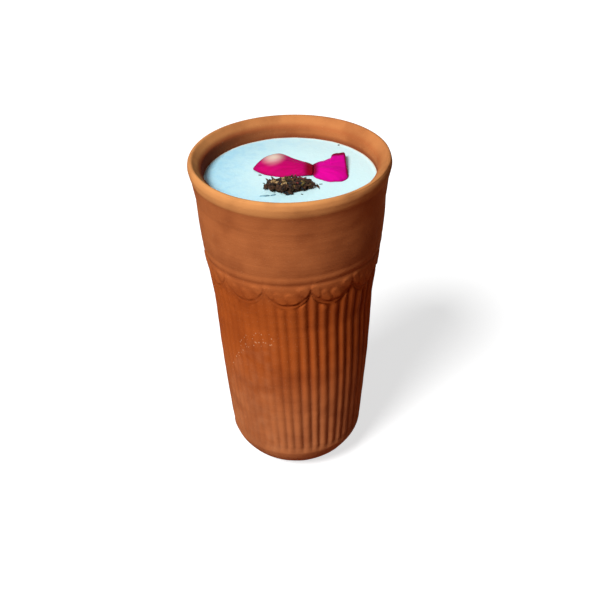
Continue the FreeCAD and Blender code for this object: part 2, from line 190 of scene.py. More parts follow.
def make_piece(name: str, points: np.ndarray, faces: list[np.ndarray], material: Material,
               stands_for: tuple[str, ...] = (),
               values: dict[str, np.ndarray] | None = None, smooth: bool = True) -> None:
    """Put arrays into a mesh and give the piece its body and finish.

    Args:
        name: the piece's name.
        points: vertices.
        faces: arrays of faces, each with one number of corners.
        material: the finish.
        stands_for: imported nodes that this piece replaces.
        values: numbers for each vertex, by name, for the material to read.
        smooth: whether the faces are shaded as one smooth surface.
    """
    mesh = bpy.data.meshes.new(name)
    corners = np.concatenate([block.ravel() for block in faces]).astype(np.int32)
    sizes = np.concatenate([np.full(len(block), block.shape[1]) for block in faces])
    starts = np.concatenate([[0], np.cumsum(sizes)[:-1]]).astype(np.int32)
    mesh.vertices.add(len(points))
    mesh.vertices.foreach_set("co", (points * METRES).astype(np.float32).ravel())
    mesh.loops.add(len(corners))
    mesh.loops.foreach_set("vertex_index", corners)
    mesh.polygons.add(len(sizes))
    mesh.polygons.foreach_set("loop_start", starts)
    mesh.update(calc_edges=True)
    mesh.polygons.foreach_set("use_smooth", np.full(len(sizes), smooth))
    for label, numbers in (values or {}).items():
        layer = mesh.attributes.new(label, "FLOAT", "POINT")
        layer.data.foreach_set("value", numbers.astype(np.float32))
    mesh.validate()
    mesh.materials.append(material)
    piece = bpy.data.objects.new(name, mesh)
    bpy.context.scene.collection.objects.link(piece)
    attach(piece, "root")
    if stands_for:
        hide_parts(*stands_for)
    LOG.info("%s: %d triangles", name, int((sizes - 2).sum()))


def make_closed_piece(name: str, surface: np.ndarray, material: Material,
                      stands_for: str, marks: dict[str, np.ndarray] | None = None) -> None:
    """Make one piece from a surface of rings that is closed by a pole at each end.

    Args:
        name: the piece's name.
        surface: points as rings, columns and three coordinates.
        material: the finish.
        stands_for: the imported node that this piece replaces.
        marks: numbers by ring and column, by name, for the material to read.
    """
    grid = surface.shape[:2]
    make_piece(name, closed_points(surface), list(closed_faces(*grid)), material,
               (stands_for,), {label: closed_values(np.broadcast_to(mark, grid))
                               for label, mark in (marks or {}).items()})


# ---------------------------------------------------------------- finishes


def add_node(tree: Tree, kind: str, settings: dict | None = None,
             links: dict | None = None) -> Node:
    """Add one node to a material.

    Args:
        tree: the material's node tree.
        kind: the node's type.
        settings: node properties by name, and socket values by "#" and socket name or number.
        links: sockets to link from, by the name or number of the input.

    Returns:
        The node.
    """
    node = tree.nodes.new(kind)
    for label, value in (settings or {}).items():
        if label.startswith("#"):
            key = label[1:]
            node.inputs[int(key) if key.isdigit() else key].default_value = value
        else:
            setattr(node, label, value)
    for label, source in (links or {}).items():
        tree.links.new(source, node.inputs[label])
    return node


class Coat:
    """A new material with millimetre coordinates and a Principled surface."""

    def __init__(self, name: str, settings: dict, *marks: str) -> None:
        """Start the material.

        Args:
            name: the material's name.
            settings: values of the Principled node's sockets, by "#" and name.
            marks: names of the numbers that the mesh carries for each vertex.
        """
        self.material = bpy.data.materials.new(name)
        self.material.use_nodes = True
        self.tree = self.material.node_tree
        self.tree.nodes.clear()
        place = add_node(self.tree, "ShaderNodeTexCoord")
        scale = add_node(self.tree, "ShaderNodeMapping", {"#Scale": (1 / METRES,) * 3},
                         {"Vector": place.outputs["Object"]})
        self.where = scale.outputs[0]
        self.surface = add_node(self.tree, "ShaderNodeBsdfPrincipled", settings)
        add_node(self.tree, "ShaderNodeOutputMaterial",
                 links={"Surface": self.surface.outputs[0]})
        self.marks = {mark: add_node(self.tree, "ShaderNodeAttribute",
                                     {"attribute_name": mark}).outputs["Fac"]
                      for mark in marks}

    def cloudy(self, grain: float, detail: float = 3.0,
               edges: tuple[float, float] | None = None,
               stretch: tuple[float, float, float] = (1.0, 1.0, 1.0),
               shift: float = 0.0) -> Socket:
        """A cloudy pattern whose patches are grain millimetres wide.

        Args:
            grain: width of a patch.
            detail: octaves of finer pattern.
            edges: values at which a patch starts and is full, or none for the bare pattern.
            stretch: how much the pattern is squeezed along each axis.
            shift: how far along each axis the pattern is moved.

        Returns:
            The pattern's value.
        """
        moved = add_node(self.tree, "ShaderNodeMapping", {
            "#Scale": tuple(part / grain for part in stretch), "#Location": (shift,) * 3},
            {"Vector": self.where})
        field = add_node(self.tree, "ShaderNodeTexNoise", {"#Scale": 1.0, "#Detail": detail},
                         {"Vector": moved.outputs[0]})
        if edges is None:
            return field.outputs[0]
        return add_node(self.tree, "ShaderNodeMapRange", {
            "interpolation_type": "SMOOTHSTEP", "#From Min": edges[0], "#From Max": edges[1]},
            {"Value": field.outputs[0]}).outputs[0]

    def specks(self, apart: float, share: float) -> Socket:
        """Round specks, one for each cell of a loose grid.

        Args:
            apart: usual distance between two specks.
            share: radius of a speck as a share of that distance.

        Returns:
            A socket that is one inside a speck.
        """
        cells = add_node(self.tree, "ShaderNodeTexVoronoi", {"#Scale": 1 / apart},
                         {"Vector": self.where})
        nearness = add_node(self.tree, "ShaderNodeMath", {"operation": "MULTIPLY", "#1": -1.0},
                            {0: cells.outputs["Distance"]})
        return add_node(self.tree, "ShaderNodeMapRange", {
            "interpolation_type": "SMOOTHSTEP", "#From Min": -share, "#From Max": -0.6 * share},
            {"Value": nearness.outputs[0]}).outputs[0]

    def laid_over(self, under: str | Socket, colour: str, share: float,
                  *marks: Socket) -> Socket:
        """Lay a colour over what is under it, by the share times every mark.

        Args:
            under: the hex colour or the socket below.
            colour: the hex colour on top.
            share: how much of it shows where every mark is one.
            marks: sockets of 0..1 that say where it lies.

        Returns:
            The colour.
        """
        amount = marks[0]
        for mark in marks[1:]:
            amount = add_node(self.tree, "ShaderNodeMath", {"operation": "MULTIPLY"},
                              {0: amount, 1: mark}).outputs[0]
        amount = add_node(self.tree, "ShaderNodeMath", {"operation": "MULTIPLY", "#1": share},
                          {0: amount}).outputs[0]
        settings, links = {"data_type": "RGBA", "#7": linear(colour)}, {0: amount}
        if isinstance(under, str):
            settings["#6"] = linear(under)
        else:
            links[6] = under
        return add_node(self.tree, "ShaderNodeMix", settings, links).outputs[2]

    def finish(self, body: Socket, height: Socket, depth: float) -> Material:
        """Give the surface its colour and its fine relief.

        Args:
            body: the colour.
            height: relief of 0..1.
            depth: millimetres that a relief of one stands for.

        Returns:
            The finished material.
        """
        relief = add_node(self.tree, "ShaderNodeBump",
                          {"#Strength": 1.0, "#Distance": depth * METRES}, {"Height": height})
        self.tree.links.new(body, self.surface.inputs["Base Color"])
        self.tree.links.new(relief.outputs[0], self.surface.inputs["Normal"])
        return self.material


@dataclass(frozen=True)
class Terracotta:
    """Unglazed clay from a low firing, pressed in a mould and turned.

    It is matt and slightly open, redder and darker just above the drink where it is wet, with
    pale bloom on the worn crests.  Painted shade darkens its grooves and rings, the inside at
    the left and the lip towards the back right, and a painted highlight lightens the rib
    crests, so the eye reads a dry, warm, dusty skin.
    """

    band: str = "#B76C3D"
    ribs: str = "#AF5621"
    # Painted shade in the rib recesses, the swag groove, the rings and round the pads; the fire
    # blotches use the same colour.
    groove: str = "#68200A"
    # Painted highlight on the rib crests.
    crest: str = "#BE6430"
    bloom: str = "#DCA67C"
    # Darker clay where it is wet just above the drink, and painted shade on the inside at the
    # left.
    damp_and_shade: str = "#6E2F1C"
    low: str = "#C47E50"
    lip: str = "#DD9A5C"
    groove_shade_share: float = 0.62
    crest_highlight_share: float = 0.5
    lip_share: float = 0.9
    low_share: float = 0.8
    dust_share: float = 0.12
    chip_share: float = 0.75
    blotch_share: float = 0.30
    speck_share: float = 0.22
    roughness: float = 0.82
    shine: float = 0.03
    # Grit of about 0.2 mm is usual in such clay, too fine to show, so it is drawn at 0.5 mm.
    grain: float = 0.5
    # Fire blotches and throwing marks are drawn at about their usual size.
    blotch: float = 14.0
    chip_apart: float = 1.6
    chip_radius: float = 0.25
    throwing_mark: float = 12.0
    grain_relief: float = 0.5
    throwing_relief: float = 0.7
    relief: float = 0.22

    def make(self) -> Material:
        """Build the clay's nodes.

        Returns:
            The material.
        """
        coat = Coat("terracotta", {"#Roughness": self.roughness,
                                   "#Specular IOR Level": self.shine},
                    "ribbed", "groove", "crest", "lip", "low", "dust", "chips", "damp_and_shade")
        mark = coat.marks
        fine = coat.cloudy(self.grain, 4.0)
        blotches = coat.cloudy(self.blotch, edges=(0.38, 0.72))
        dusty = coat.cloudy(self.blotch / 3, 4.0, edges=(0.30, 0.75), shift=7.0)
        chipped, speckled = (
            add_node(coat.tree, "ShaderNodeMapRange", {
                "interpolation_type": "SMOOTHSTEP", "#From Min": low, "#From Max": high},
                {"Value": value}).outputs[0]
            for value, low, high in ((mark["chips"], 0.2, 0.5), (fine, 0.60, 0.75)))
        chips = coat.specks(self.chip_apart, self.chip_radius)
        body = coat.laid_over(self.band, self.ribs, 1.0, mark["ribbed"])
        for colour, share, marks in (
                # Painted shade in the grooves.
                (self.groove, self.groove_shade_share, [mark["groove"]]),
                # Painted highlight on the rib crests.
                (self.crest, self.crest_highlight_share, [mark["crest"]]),
                (self.lip, self.lip_share, [mark["lip"]]),
                (self.low, self.low_share, [mark["low"]]),
                (self.bloom, self.dust_share, [mark["dust"], dusty]),
                (self.bloom, self.chip_share, [chipped, chips]),
                # Wet clay just above the drink, and painted shade inside at the left.
                (self.damp_and_shade, 1.0, [mark["damp_and_shade"]]),
                (self.groove, self.blotch_share, [blotches]),
                (self.bloom, self.speck_share, [speckled])):
            body = coat.laid_over(body, colour, share, *marks)
        # The pattern is squeezed to 3 mm upwards and drawn out to 60 mm round the cup.
        thrown = coat.cloudy(self.throwing_mark, 1.0, stretch=(0.2, 0.2, 4.0))
        pores, rings = (
            add_node(coat.tree, "ShaderNodeMath", {"operation": "MULTIPLY", "#1": share},
                     {0: pattern}).outputs[0]
            for pattern, share in ((fine, self.grain_relief), (thrown, self.throwing_relief)))
        height = add_node(coat.tree, "ShaderNodeMath", {"operation": "ADD"},
                          {0: pores, 1: rings})
        return coat.finish(body, height.outputs[0], self.relief)


@dataclass(frozen=True)
class ThickLassi:
    """Yoghurt drink with rose water: opaque, close to white with a blue cast, and softly shining.

    The curd's mottle and ripples are drawn at about their usual size.
    """

    pale: str = "#D3F6FA"
    # Blue of the painted shade at the left of the top.
    shade_blue: str = "#9FDAF2"
    rim: str = "#E9D9B8"
    roughness: float = 0.38
    mottle: float = 3.5
    ripple: float = 1.4
    relief: float = 0.12

    def make(self) -> Material:
        """Build the drink's nodes.

        Returns:
            The material.
        """
        # Light goes about two millimetres into the drink, a little farther in red.
        coat = Coat("thick_lassi", {
            "#Roughness": self.roughness, "#Subsurface Weight": 0.15,
            "#Subsurface Radius": (1.0, 0.9, 0.8), "#Subsurface Scale": 0.002}, "left_shade", "rim")
        left_shade = coat.marks["left_shade"]
        cloud = coat.cloudy(self.mottle, 4.0, edges=(0.40, 0.68))
        # Painted shade: the top is bluer and mottled towards its left edge, where the wall's
        # shadow falls.
        body = coat.laid_over(self.pale, self.shade_blue, 1.0, cloud, left_shade)
        body = coat.laid_over(body, self.shade_blue, 1.0, left_shade)
        body = coat.laid_over(body, self.rim, 1.0, coat.marks["rim"])
        return coat.finish(body, coat.cloudy(self.ripple), self.relief)


@dataclass(frozen=True)
class RosePetalSkin:
    """Fresh rose petal: velvety, strongly coloured, darker at its edges, with painted shade along
    its folds.
    """

    name: str
    flesh: str
    edge: str
    # Painted shade where the petal is gathered or turned over.
    fold_shade: str
    claw: str = "#F0DCC8"
    vein_share: float = 0.35
    roughness: float = 0.6
    shine: float = 0.04
    # Velvet cells of about 0.03 mm are usual, too fine to show, so they are drawn coarser.
    velvet: float = 0.35
    relief: float = 0.05

    def make(self) -> Material:
        """Build the petal's nodes.

        Returns:
            The material.
        """
        # Light goes just under a millimetre into the petal, farthest in red.
        coat = Coat(self.name, {
            "#Roughness": self.roughness, "#Specular IOR Level": self.shine,
            "#Subsurface Weight": 0.2, "#Subsurface Radius": (1.0, 0.3, 0.6),
            "#Subsurface Scale": 0.0008}, "veins", "edge", "fold_shade", "claw")
        body = coat.laid_over(self.flesh, self.edge, self.vein_share, coat.marks["veins"])
        for colour, label in ((self.edge, "edge"), (self.fold_shade, "fold_shade"), (self.claw, "claw")):
            body = coat.laid_over(body, colour, 1.0, coat.marks[label])
        return coat.finish(body, coat.cloudy(self.velvet, 2.0), self.relief)


@dataclass(frozen=True)
class DryBits:
    """Chopped and dried garnish: dull, with a darker and a paler tone that vary by place.

    Its patches and wrinkles are drawn at about their usual size.
    """

    name: str
    dark: str
    light: str
    patch: float = 1.2
    roughness: float = 0.7
    shine: float = 0.18
    crust: float = 0.4
    relief: float = 0.15

    def make(self) -> Material:
        """Build the garnish's nodes.

        Returns:
            The material.
        """
        coat = Coat(self.name, {"#Roughness": self.roughness, "#Specular IOR Level": self.shine})
        body = coat.laid_over(self.dark, self.light, 1.0,
                              coat.cloudy(self.patch, edges=(0.38, 0.62)))
        return coat.finish(body, coat.cloudy(self.crust), self.relief)


# ---------------------------------------------------------------- the cup


@dataclass(frozen=True)
class Stretch:
    """One stretch of the wall's profile, from the last one's end to a new radius and height.

    An arc has the given round; it is positive where travel turns to the left.
    """

    radius: float
    height: float
    rows: int
    round: float = 0.0

    def points(self, start: np.ndarray) -> np.ndarray:
        """Points along the stretch, without its start.

        A straight stretch is spaced evenly.  An arc is centred off the middle of its chord
        by the root of the round squared less half the chord squared, and is spaced evenly
        by angle.

        Args:
            start: radius and height where the stretch begins.

        Returns:
            Rows of radius and height.
        """
        end = np.array([self.radius, self.height])
        share = np.linspace(0, 1, self.rows + 1)[1:, None]
        if not self.round:
            return start + (end - start) * share
        chord = end - start
        length = math.hypot(*chord)
        turn = math.copysign(1.0, self.round)
        off = math.sqrt(self.round ** 2 - length ** 2 / 4)
        centre = (start + end) / 2 + turn * off * np.array([-chord[1], chord[0]]) / length
        first = math.atan2(*(start - centre)[::-1])
        sweep = 2 * math.asin(length / 2 / abs(self.round)) * turn
        angle = first + sweep * share[:, 0]
        return centre + abs(self.round) * np.stack([np.cos(angle), np.sin(angle)], axis=-1)


@dataclass
class ClayCup:
    """The pressed and turned clay tumbler, one closed wall with all its relief.

    The stretches run from the middle of the foot, up outside, over the lip and down inside.
    The pads are pairs of a place within a swag and a lean in radians.
    """

    stretches: tuple[Stretch, ...] = (
        Stretch(16.0, 0.0, 3),
        Stretch(29.9, 14.6, 12, 22.0),
        Stretch(34.9, 85.5, 46, 1000.0),
        Stretch(36.6, 98.2, 8),
        Stretch(38.25, 110.5, 30),
        Stretch(38.79, 115.2, 12, 228.0),
        Stretch(40.0, 133.4, 8, 228.0),
        Stretch(41.4, 142.7, 6),
        Stretch(42.4, 146.9, 7, 28.0),
        Stretch(42.2, 148.6, 4, 6.0),
        Stretch(40.3, 149.85, 8, 1.45),
        Stretch(36.5, 145.8, 8),
        Stretch(36.03, 140.7, 4),
        Stretch(30.9, 85.5, 4),
        Stretch(25.9, 18.0, 3),
        Stretch(13.9, 6.0, 5, -12.0),
    )
    innermost: float = 4.0
    floor_height: float = 6.0
    ribs: int = 52
    samples_per_rib: int = 11
    rib_depth: float = 0.75
    rib_gap: float = 0.9
    rib_top: float = 1.1
    rib_top_round: float = 0.9
    rib_fullness: float = 1.3
    rib_unevenness: float = 0.12
    rib_foot: float = 15.6
    rib_lean: float = math.radians(3.0)
    rib_span: float = 62.0
    rib_middle: float = 60.0
    lean_limit: float = 0.75
    rib_start: float = math.radians(0.3)
    spacing_wave: float = 0.06
    spacing_turn: float = math.radians(5.0)
    spacing_jitter: float = math.radians(0.45)
    spacing_seed: int = 11
    swags: int = 13
    swag_start: float = math.radians(-3.3)
    swag_drift: float = 0.08
    swag_low: float = 99.3
    swag_high: float = 107.8
    swag_depth: float = 0.32
    swag_width: float = 1.0
    swag_across: float = 17.8
    swag_end: float = 0.02
    pads: tuple[tuple[float, float], ...] = ((0.10, 0.3), (0.34, 0.45), (0.60, 0.6), (0.88, 0.75))
    pad_rise: float = 3.2
    pad_length: float = 3.2
    pad_width: float = 1.35
    pad_height: float = 0.95
    crease_width: float = 2.8
    ring_height: float = 110.2
    ring_depth: float = 0.3
    ring_width: float = 1.15
    ring_tilt: float = 0.9
    second_ring_height: float = 114.2
    second_ring_depth: float = 0.16
    second_ring_width: float = 1.2
    arc_height: float = 79.6
    arc_bend: float = 0.022
    chip_band: float = 3.4
    worn_front: float = 0.5
    worn_left: float = 0.45
    worn_rubbed: float = 0.4
    rubbed_depth: float = 0.1
    faded: float = 0.5
    slow_waves: float = 0.10
    dents: float = 0.035
    inset: float = 0.25
    unevenness: float = 0.22
    # Painted shade darkens the lip most at this azimuth.
    dark_side: float = math.radians(142.0)
    lip_darkening: float = 0.68
    damp_share: float = 0.8

    def profile(self) -> np.ndarray:
        """The wall's profile from the middle of the foot, up outside and down inside.

        Returns:
            Rows of radius and height.
        """
        rows = [np.array([[self.innermost, 0.0]])]
        for stretch in self.stretches:
            rows.append(stretch.points(rows[-1][-1]))
        rows.append(np.array([[self.innermost, self.floor_height]]))
        return np.concatenate(rows)

    def rib_field(self) -> tuple[np.ndarray, np.ndarray]:
        """Where each column stands round the cup and within its rib.

        Ribs are evenly spaced, then moved by a slow wave twice round and by a small draw
        for each rib.

        Returns:
            Azimuths of the columns at the ribs' middle height, and places within a rib from
            0 in one groove to 1 in the next.
        """
        columns = self.ribs * self.samples_per_rib
        turn = np.arange(columns) / columns
        even = 2 * np.pi * turn + self.rib_start
        draw = np.random.default_rng(self.spacing_seed)
        knots = draw.uniform(-self.spacing_jitter, self.spacing_jitter, self.ribs)
        jitter = np.interp(turn * self.ribs, np.arange(self.ribs + 1), np.append(knots, knots[0]))
        azimuth = even - self.spacing_wave * np.cos(2 * (even + self.spacing_turn)) + jitter
        return azimuth, (turn * self.ribs) % 1.0

    def swag_field(self, azimuth: np.ndarray) -> np.ndarray:
        """Place within a swag: 0 where two meet at its left, 1 where they meet at its right."""
        turned_by = azimuth - self.swag_start + self.swag_drift * -np.sin(azimuth)
        return (turned_by / (2 * np.pi) * self.swags + 0.5) % 1.0

    def swag_line(self, place: np.ndarray) -> np.ndarray:
        """Height of a swag's groove: lowest in its middle, rising as a circle to its ends.

        With s from 0 in the middle to 1 at an end and e the swag_end, the rise is one less
        the root of 1 - (1 - e) s squared, over one less the root of e.

        Args:
            place: place within a swag.

        Returns:
            Heights.
        """
        side = np.abs(2 * place - 1)
        return self.swag_low + (self.swag_high - self.swag_low) * (
            1 - np.sqrt(1 - (1 - self.swag_end) * side ** 2)) / (1 - math.sqrt(self.swag_end))

    def pad_relief(self, place: np.ndarray, height: np.ndarray) -> np.ndarray:
        """Soft pads pressed inside each swag.

        Each is an oval whose long side leans to the left, the farther right the more, and
        whose middle is pad_rise above the swag's groove.  It falls off as the bell curve
        across and, with the fourth power in place of the square, along.

        Args:
            place: place within a swag.
            height: height of the point.

        Returns:
            Relief of 0..1.
        """
        total = np.zeros(np.broadcast(place, height).shape)
        for centre, lean in self.pads:
            level = float(self.swag_line(np.array(centre))) + self.pad_rise
            across = (place - centre) * self.swag_across
            up = height - level
            along = up * math.cos(lean) - across * math.sin(lean)
            aside = across * math.cos(lean) + up * math.sin(lean)
            total = np.maximum(total, np.exp(
                -(along / self.pad_length) ** 4 - (aside / self.pad_width) ** 2))
        return total

    def relief(self, azimuth: np.ndarray, within: np.ndarray, height: np.ndarray,
               outside: np.ndarray) -> dict[str, np.ndarray]:
        """How far the surface stands off the plain wall, and what the finish follows.

        Args:
            azimuth: azimuth of each point.
            within: place within a rib of each point.
            height: height of each point.
            outside: one on the outside of the wall and nought inside.

        Returns:
            The offset in millimetres and the masks of 0..1, by name.
        """
        azimuth, within, height, outside = np.broadcast_arrays(azimuth, within, height, outside)
        leftwards = -np.degrees((azimuth + np.pi) % (2 * np.pi) - np.pi)
        swag = self.swag_field(azimuth)
        line = self.swag_line(swag)
        # Ribs lie in a recess that ends just under the swags; each has a rounded top.
        recess = outside * ramp(height, self.rib_foot - 0.9, self.rib_foot + 0.4)
        recess = recess * ramp(line - self.rib_gap - height, 0.0, 0.8)
        top = line - self.rib_top - self.rib_top_round * (2 * within - 1) ** 2
        crown = np.sin(np.pi * within) ** self.rib_fullness
        crown = crown * ramp(top - height, -0.2, 1.6)
        crown = crown * ramp(height, self.rib_foot - 0.8, self.rib_foot + 1.8)
        # The left front is worn: softer ribs, rubbed almost smooth above an arc.
        arc = self.arc_height - self.arc_bend * np.maximum(0.0, leftwards - 24) ** 2
        left = window(leftwards, 8.0, 22.0, 70.0, 95.0)
        rubbed = left * ramp(height, arc - 1.5, arc + 1.5)
        under = left * (1 - ramp(height, arc - 3.0, arc + 1.0))
        soft = window(leftwards, -10.0, 2.0, 85.0, 115.0)
        low = ramp(-height, -58.0, -24.0)
        wear = (1 - self.worn_front * soft * (1 - 0.6 * low)) * (1 - self.worn_left * left) * (
            1 - self.worn_rubbed * rubbed)
        uneven = 1 + self.rib_unevenness * ripples(
            azimuth, height, turns=30, length=30.0, count=20, seed=3)
        depth = self.rib_depth * wear * uneven
        offset = -recess * depth * (1 - crown)
        offset = offset - outside * recess * self.rubbed_depth * rubbed

        garland = outside * ramp(height, 97.6, 99.1)
        groove = garland * bell(height - line, self.swag_width)
        pads = garland * self.pad_relief(swag, height) * ramp(height - line, 0.4, 1.4)
        tilt = self.ring_tilt * np.sin(azimuth)
        ring = outside * bell(height - self.ring_height - tilt, self.ring_width)
        second = outside * bell(height - self.second_ring_height - tilt, self.second_ring_width)
        faint = 1 - self.faded * left
        offset = offset - faint * self.swag_depth * groove + faint * self.pad_height * pads
        offset = offset - self.ring_depth * ring - self.second_ring_depth * second
        slow = ripples(azimuth, height, turns=4, length=60.0, count=16, seed=5) * self.slow_waves
        dents = ripples(azimuth, height, turns=24, length=9.0, count=30, seed=6) * self.dents
        offset = offset + slow + dents * outside

        # Painted shade in a band round the pads, with none on the pads themselves.
        crease_shade = garland * bell(height - line - self.pad_rise, self.crease_width) * (
            1 - pads) ** 2 * faint
        cut = np.clip(recess * (1 - crown), 0, 1)
        return {
            "offset": offset,
            "ribbed": outside * ramp(-height, -118.0, -96.0),
            # Painted shade in the rib recesses, the swag groove, the rings and the creases round
            # the pads.
            "groove": np.maximum.reduce([ramp(cut, 0.3, 1.0) * wear, 0.55 * faint * groove,
                                         0.35 * ring, 0.5 * crease_shade]),
            # Painted highlight on the rib crests, less where they are worn.
            "crest": recess * ramp(crown, 0.6, 1.0) * wear,
            "low": outside * (0.72 * ramp(-height, -74.0, -28.0)
                              + 0.16 * ramp(-height, -26.0, -14.0)),
            "dust": outside * np.clip(0.9 * under + 0.5 * ramp(-height, -38.0, -20.0)
                                      * ramp(height, 14.0, 20.0), 0, 1),
            "chips": window(leftwards, 12.0, 16.0, 52.0, 60.0) * recess
                     * bell(height - arc, self.chip_band),
        }

    def build(self, material: Material) -> None:
        """Make the cup's wall.

        A point is the profile's radius plus its offset, at the column's azimuth turned by
        the lean, which grows evenly with the height.  The lip dips by the unevenness.

        Args:
            material: its finish.
        """
        profile = self.profile()
        radius, height = profile[:, :1], profile[:, 1:]
        rows = np.arange(len(profile))[:, None]
        rim = int(np.argmax(profile[:, 1]))
        outside = (rows < rim - 3).astype(float) * ramp(height, 1.0, 3.0)
        columns, within = self.rib_field()
        lean = self.rib_lean * np.clip((self.rib_middle - height) / self.rib_span,
                                       -self.lean_limit, self.lean_limit)
        azimuth = columns[None, :] + lean
        masks = self.relief(azimuth, within[None, :], height, outside)
        # The relief is set into the plain wall and cut off at it, so nothing leaves the form.
        offset = np.minimum(masks.pop("offset") - self.inset * outside, 0.0)
        lip = ramp(height, 142.8, 144.4) * ramp(radius, 36.3, 36.8) * np.ones_like(azimuth)
        wobble = ripples(azimuth, height * 0, turns=5, length=1.0, count=8, seed=8)
        top = height - self.unevenness * lip * (1 + 0.5 * wobble)
        inside = (rows > rim + 3).astype(float)
        # Painted shade: the lip is darker towards the back right.
        shaded_back_right = 0.5 + 0.5 * np.cos(azimuth - self.dark_side)
        masks["lip"] = lip * ramp(radius, 36.6, 38.5) * (1 - self.lip_darkening * shaded_back_right)
        # Darker all round just above the drink, where the clay is wet, and painted shade higher
        # up the inside at the left, where the wall's shadow falls.
        shaded_left = 0.5 - 0.5 * np.sin(azimuth)
        masks["damp_and_shade"] = inside * np.maximum(
            self.damp_share * ramp(-height, -143.8, -141.2),
            shaded_left ** 2 * ramp(-height, -148.2, -145.6))
        make_closed_piece("clay_wall", turned(radius + offset, azimuth, top), material,
                          "clay_cup", masks)


# ---------------------------------------------------------------- the drink


@dataclass
class Drink:
    """The lassi: a closed fill that reaches just into the wall, with a clinging edge."""

    level: float = 140.7
    edge_radius: float = 36.03
    waist_radius: float = 30.9
    waist_height: float = 85.5
    base_radius: float = 25.9
    base_height: float = 18.0
    floor_height: float = 6.0
    reach: float = 0.12
    sunk: float = 0.12
    long_swell: float = 0.05
    short_swell: float = 0.03
    cling: float = 0.2
    cling_width: float = 1.1
    left_shade_share: float = 0.7
    rim_share: float = 0.7
    columns: int = 240
    rings: int = 60

    def surface_height(self, x: np.ndarray, y: np.ndarray) -> np.ndarray:
        """Height of the drink's top at a place: level, with slow swells and a raised edge.

        The long swell is 30 mm from crest to crest to the right and 37 mm to the back; the
        short one is 9 mm.

        Args:
            x: place to the right.
            y: place to the back.

        Returns:
            Heights.
        """
        out = np.hypot(x, y)
        swell = self.long_swell * np.cos(0.21 * x + 0.9) * np.cos(0.17 * y - 0.4)
        swell = swell + self.short_swell * np.sin(0.63 * x - 0.35 * y)
        edge = self.cling * bell(out - self.edge_radius, self.cling_width)
        return self.level - self.sunk + swell + edge

    def build(self, material: Material) -> None:
        """Make the drink.

        The top's rings crowd to the edge: a ring's radius is the edge's times one less the
        1.4th power of the share that is left to it.  The sides are straight to the waist and
        to the base, and a quarter round leads to the floor.

        Args:
            material: its finish.
        """
        out = self.edge_radius + self.reach
        azimuth = -np.linspace(0, 2 * np.pi, self.columns, endpoint=False)[None, :]
        share = np.linspace(0, 1, self.rings + 1)[1:, None]
        radius = out * (1 - (1 - share) ** 1.4)
        flat = turned(radius, azimuth, np.zeros(1))
        top = np.concatenate([flat[..., :2], self.surface_height(
            flat[..., :1], flat[..., 1:2])], axis=-1)
        corner = np.linspace(0, np.pi / 2, 6)[1:, None]
        floor_round = self.base_height - self.floor_height
        sides = np.array([[self.waist_radius + self.reach, self.waist_height],
                          [self.base_radius + self.reach, self.base_height]])
        curve = np.concatenate([
            self.base_radius - floor_round + floor_round * np.cos(corner),
            self.base_height - floor_round * np.sin(corner)], axis=-1)
        low = np.concatenate([sides, curve])
        below = turned(low[:, :1], azimuth, low[:, 1:])
        surface = np.concatenate([top, below])
        distance = np.hypot(surface[..., 0], surface[..., 1])
        # Painted shade on the top, strongest near its left edge, where the wall's shadow falls.
        left = 0.5 - 0.5 * np.sin(azimuth)
        is_top = surface[..., 2] > self.level - 1
        make_closed_piece("lassi_fill", surface, material, "lassi", {
            "left_shade": is_top * self.left_shade_share * ramp(distance, 10.0, 36.0) * left ** 1.5,
            "rim": is_top * self.rim_share * ramp(distance, out - 0.9, out - 0.2)})


# ---------------------------------------------------------------- petals


@dataclass(frozen=True)
class RimPoint:
    """One point of a petal's edge: right, back, and height over the drink."""

    x: float
    y: float
    lift: float


def smooth_loop(points: np.ndarray, count: int) -> np.ndarray:
    """A smooth closed curve through points.

    Between two points it is the cubic whose slope at each is half the step between that
    point's neighbours.

    Args:
        points: the points in order.
        count: samples round the loop.

    Returns:
        The samples.
    """
    along = np.arange(count) / count * len(points)
    first = along.astype(int)
    share = (along - first)[:, None]
    before, start, end, after = (points[(first + step) % len(points)] for step in (-1, 0, 1, 2))
    slope_in, slope_out = (end - before) / 2, (after - start) / 2
    square, cube = share ** 2, share ** 3
    return ((2 * cube - 3 * square + 1) * start + (cube - 2 * square + share) * slope_in
            + (3 * square - 2 * cube) * end + (cube - square) * slope_out)


